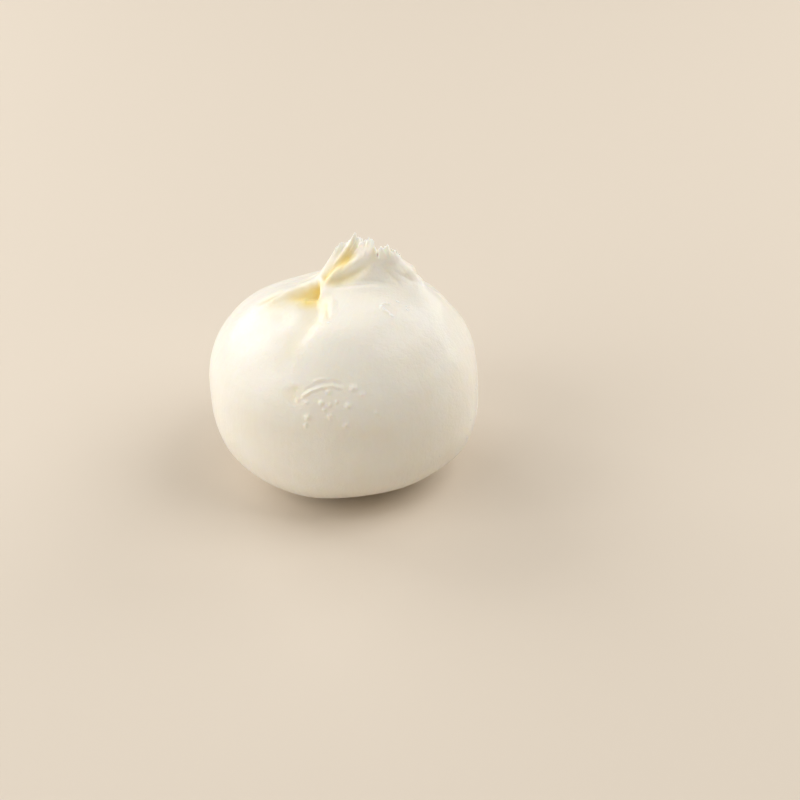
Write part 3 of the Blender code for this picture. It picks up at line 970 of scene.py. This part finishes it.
def curd_material(settings):
    """Stretched curd: cream white, wet, a little see-through, with a faint grain."""
    material, tree, shader = new_material("stretched_curd")
    object_place = add_node(tree, "ShaderNodeTexCoord").outputs["Object"]
    fold_tint = add_node(tree, "ShaderNodeAttribute", attribute_name="fold_tint").outputs["Fac"]
    torn = add_node(tree, "ShaderNodeAttribute", attribute_name="torn").outputs["Fac"]
    grain_place = add_node(tree, "ShaderNodeAttribute", attribute_name="grain").outputs["Vector"]

    mottle = noise_at(tree, object_place, MOTTLE_SCALE, detail=2.0)
    speckle = noise_at(tree, object_place, SPECKLE_SCALE)
    pores = noise_at(tree, object_place, PORE_SCALE, detail=4.0, roughness=0.6)
    streaks = noise_at(tree, grain_place, STREAK_SCALE, detail=5.0, roughness=0.6)

    curd = settings.curd_colour
    colour = mix_colours(tree, spread(tree, mottle, 0.25, 0.80), curd, tinted(curd, WARM_CURD))
    pale = spread(tree, streaks, 0.45, 0.90, 0.0, STREAKS_PALE)
    colour = mix_colours(tree, pale, colour, PALE_CURD)
    colour = mix_colours(tree, torn, colour, settings.torn_colour)
    # The fold colour mixed in here along the creases is partly the cream's own colour and partly
    # painted shade.
    uneven = spread(tree, mottle, 0.2, 0.8, 0.75, 1.15)
    uneven_tint = calculate(tree, "MULTIPLY", fold_tint, uneven)
    colour = mix_colours(tree, uneven_tint, colour, settings.cream_and_shade_colour)
    tree.links.new(colour, shader.inputs["Base Color"])

    smooth = spread(tree, mottle, 0.2, 0.8, 0.36, 0.44)
    rough = calculate(tree, "ADD", smooth, calculate(tree, "MULTIPLY", torn, TORN_ROUGHNESS))
    tree.links.new(rough, shader.inputs["Roughness"])
    wet = spread(tree, streaks, 0.2, 0.8, 0.45, 0.25)
    tree.links.new(wet, shader.inputs["Coat Weight"])

    normal = add_bump(tree, speckle, SPECKLE_BUMP)
    normal = add_bump(tree, pores, PORE_BUMP, normal)
    normal = add_bump(tree, streaks, STREAK_BUMP, normal)
    tree.links.new(normal, shader.inputs["Normal"])

    for name, value in CURD_VALUES.items():
        shader.inputs[name].default_value = value
    return material


def whey_material(settings):
    """Cloudy whey: a smooth, glossy bead, near white so that it also shows as a painted glint on
    the curd.
    """
    material, tree, shader = new_material("cloudy_whey")
    object_place = add_node(tree, "ShaderNodeTexCoord").outputs["Object"]
    cloud = noise_at(tree, object_place, CLOUD_SCALE, detail=2.0)
    whey = settings.whey_glint_colour
    colour = mix_colours(tree, cloud, whey, tinted(whey, DIM_WHEY))
    tree.links.new(colour, shader.inputs["Base Color"])
    tree.links.new(spread(tree, cloud, 0.3, 0.7, 0.12, 0.22), shader.inputs["Roughness"])
    shader.inputs["IOR"].default_value = WHEY_IOR
    return material


def floor_material(settings):
    """A plain matt floor."""
    material, tree, shader = new_material("pale_floor")
    object_place = add_node(tree, "ShaderNodeTexCoord").outputs["Object"]
    tone = settings.floor_colour
    patches = noise_at(tree, object_place, FLOOR_PATCH_SCALE, detail=2.0)
    colour = mix_colours(tree, patches, tone, tinted(tone, (FLOOR_LIGHTER,) * 3))
    tree.links.new(colour, shader.inputs["Base Color"])
    shader.inputs["Roughness"].default_value = FLOOR_ROUGHNESS
    return material


def make_piece(name, bm, material, attributes=None):
    """One finished object at the origin, with its place in its mesh, shaded smooth."""
    for face in bm.faces:
        face.smooth = True
    mesh = bpy.data.meshes.new(name)
    bm.to_mesh(mesh)
    bm.free()
    for title, values in (attributes or {}).items():
        kind, field = ("FLOAT_VECTOR", "vector") if values.ndim == 2 else ("FLOAT", "value")
        layer = mesh.attributes.new(title, kind, "POINT")
        layer.data.foreach_set(field, values.astype(np.float32).ravel())
    mesh.materials.append(material)
    piece = bpy.data.objects.new(name, mesh)
    bpy.context.scene.collection.objects.link(piece)
    return piece


def add_drop(bm, place, out, radius, length, rings):
    """One flattened drop that sits a little in the skin."""
    slope = out.to_track_quat("Z", "Y").to_matrix().to_4x4()
    squeeze = Matrix.Diagonal((1.0, length, DROP_FLATNESS, 1.0))
    sink = Matrix.Translation(place - out * radius * DROP_FLATNESS * DROP_SINK)
    bmesh.ops.create_uvsphere(bm, u_segments=2 * rings, v_segments=rings, radius=radius,
                              matrix=sink @ slope @ squeeze)


def scatter_drops(skin, settings):
    """Flattened whey drops on the skin, in the groups where they gather and along a trail."""
    draw = random.Random(DROP_SEED)
    bm = bmesh.new()
    for group in DROP_GROUPS:
        for _ in range(group.count):
            turn = math.radians(group.azimuth + draw.uniform(-group.spread, group.spread))
            height = draw.uniform(group.low, group.high) * MM
            way = Vector((math.cos(turn), math.sin(turn), 0.0))
            place, out, _, _ = skin.ray_cast(Vector((0.0, 0.0, height)) + way, -way)
            size = settings.drop_size * draw.uniform(*DROP_SIZES)
            add_drop(bm, place, out, size, draw.uniform(*DROP_LENGTHS), settings.drop_rings)
    for spot, share in DROP_TRAIL:
        place, out, _, _ = skin.find_nearest(Vector(spot) * MM)
        size = settings.drop_size * share
        add_drop(bm, place, out, size, draw.uniform(*TRAIL_LENGTHS), settings.drop_rings)
    return bm


def add_light(light, power):
    """A soft square light that faces the middle of the cheese."""
    data = bpy.data.lights.new(light.name, "AREA")
    data.shape = "SQUARE"
    data.size = light.size
    data.energy = power
    lamp = bpy.data.objects.new(light.name, data)
    bpy.context.scene.collection.objects.link(lamp)
    lamp.location = light.place
    way = Vector(LIGHT_AIM) - Vector(light.place)
    lamp.rotation_euler = way.to_track_quat("-Z", "Y").to_euler()


def add_room(scene, settings):
    """The even light of the room, with a plain wall for the camera to see."""
    world = bpy.data.worlds.new("room")
    world.use_nodes = True
    tree = world.node_tree
    light = tree.nodes["Background"]
    light.inputs["Color"].default_value = settings.room_colour
    light.inputs["Strength"].default_value = settings.room_light
    wall = add_node(tree, "ShaderNodeBackground", {"Color": settings.wall_colour})
    seen = add_node(tree, "ShaderNodeLightPath").outputs["Is Camera Ray"]
    either = add_node(tree, "ShaderNodeMixShader")
    for socket, source in zip(either.inputs, (seen, light.outputs[0], wall.outputs[0])):
        tree.links.new(source, socket)
    tree.links.new(either.outputs[0], tree.nodes["World Output"].inputs["Surface"])
    scene.world = world


def add_camera(settings):
    """The camera that looks down at the front of the cheese."""
    data = bpy.data.cameras.new("camera")
    data.lens = settings.lens
    data.sensor_width = SENSOR_WIDTH
    data.clip_start = CLIP_START
    camera = bpy.data.objects.new("camera", data)
    bpy.context.scene.collection.objects.link(camera)
    back = Vector((0.0, -math.cos(CAMERA_ELEVATION), math.sin(CAMERA_ELEVATION)))
    tilt = Matrix.Rotation(math.pi / 2 - CAMERA_ELEVATION, 4, "X")
    lean = Matrix.Rotation(CAMERA_LEAN, 4, "Z")
    place = Matrix.Translation(Vector(CAMERA_AIM) + back * CAMERA_DISTANCE)
    camera.matrix_world = place @ tilt @ lean
    bpy.context.scene.camera = camera


class BURRATA_OT_pouch(Operator):
    """Model the pouch of stretched curd with its folds and its torn top"""

    bl_idname = "burrata.pouch"
    bl_label = "Pouch of curd"

    def execute(self, context):
        settings = context.scene.burrata_curd
        bm, places, attributes = shape_skin(settings)
        set_places(bm, stand_up(places))
        floor = [face for face in bm.faces if len(face.verts) > 4]
        bmesh.ops.triangulate(bm, faces=floor, quad_method="BEAUTY", ngon_method="BEAUTY")
        pouch = make_piece("burrata_pouch", bm, curd_material(settings), attributes)
        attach(pouch, "root")
        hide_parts(CAD_NODE)
        return {"FINISHED"}


class BURRATA_OT_whey_drops(Operator):
    """Scatter small drops of whey on the skin"""

    bl_idname = "burrata.whey_drops"
    bl_label = "Whey drops"

    def execute(self, context):
        settings = context.scene.burrata_curd
        skin = bmesh.new()
        skin.from_mesh(bpy.data.objects["burrata_pouch"].data)
        drops = scatter_drops(BVHTree.FromBMesh(skin), settings)
        skin.free()
        piece = make_piece("whey_drops", drops, whey_material(settings))
        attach(piece, "root")
        return {"FINISHED"}


class BURRATA_OT_stage(Operator):
    """Set the plain floor, the soft lights and the camera"""

    bl_idname = "burrata.stage"
    bl_label = "Stage"

    def execute(self, context):
        settings = context.scene.burrata_stage
        bm = bmesh.new()
        bmesh.ops.create_circle(bm, cap_ends=True, segments=FLOOR_SEGMENTS,
                                radius=settings.floor_radius)
        floor = make_piece("floor", bm, floor_material(settings))

        context.scene.view_settings.view_transform = "Standard"
        add_room(context.scene, settings)
        for light in LIGHTS:
            add_light(light, getattr(settings, light.power))
        add_camera(settings)
        return {"FINISHED"}


class BURRATA_PT_panel(Panel):
    """Lists the pieces of the burrata and its stage"""

    bl_idname = "BURRATA_PT_panel"
    bl_label = "Burrata"
    bl_space_type = "VIEW_3D"
    bl_region_type = "UI"
    bl_category = "Burrata"

    def draw(self, context):
        column = self.layout.column()
        for settings in (context.scene.burrata_curd, context.scene.burrata_stage):
            for name in settings.bl_rna.properties.keys():
                if name not in ("rna_type", "name"):
                    column.prop(settings, name)
        for operator in PIECES:
            column.operator(operator.bl_idname)


PIECES = (BURRATA_OT_pouch, BURRATA_OT_whey_drops, BURRATA_OT_stage)
CLASSES = (CurdSettings, StageSettings) + PIECES + (BURRATA_PT_panel,)


def register():
    for cls in CLASSES:
        bpy.utils.register_class(cls)
    bpy.types.Scene.burrata_curd = PointerProperty(type=CurdSettings)
    bpy.types.Scene.burrata_stage = PointerProperty(type=StageSettings)


def unregister():
    del bpy.types.Scene.burrata_stage
    del bpy.types.Scene.burrata_curd
    for cls in reversed(CLASSES):
        bpy.utils.unregister_class(cls)


def main():
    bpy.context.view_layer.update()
    register()
    bpy.ops.burrata.pouch()
    bpy.ops.burrata.whey_drops()
    bpy.ops.burrata.stage()


if __name__ == "__main__":
    main()
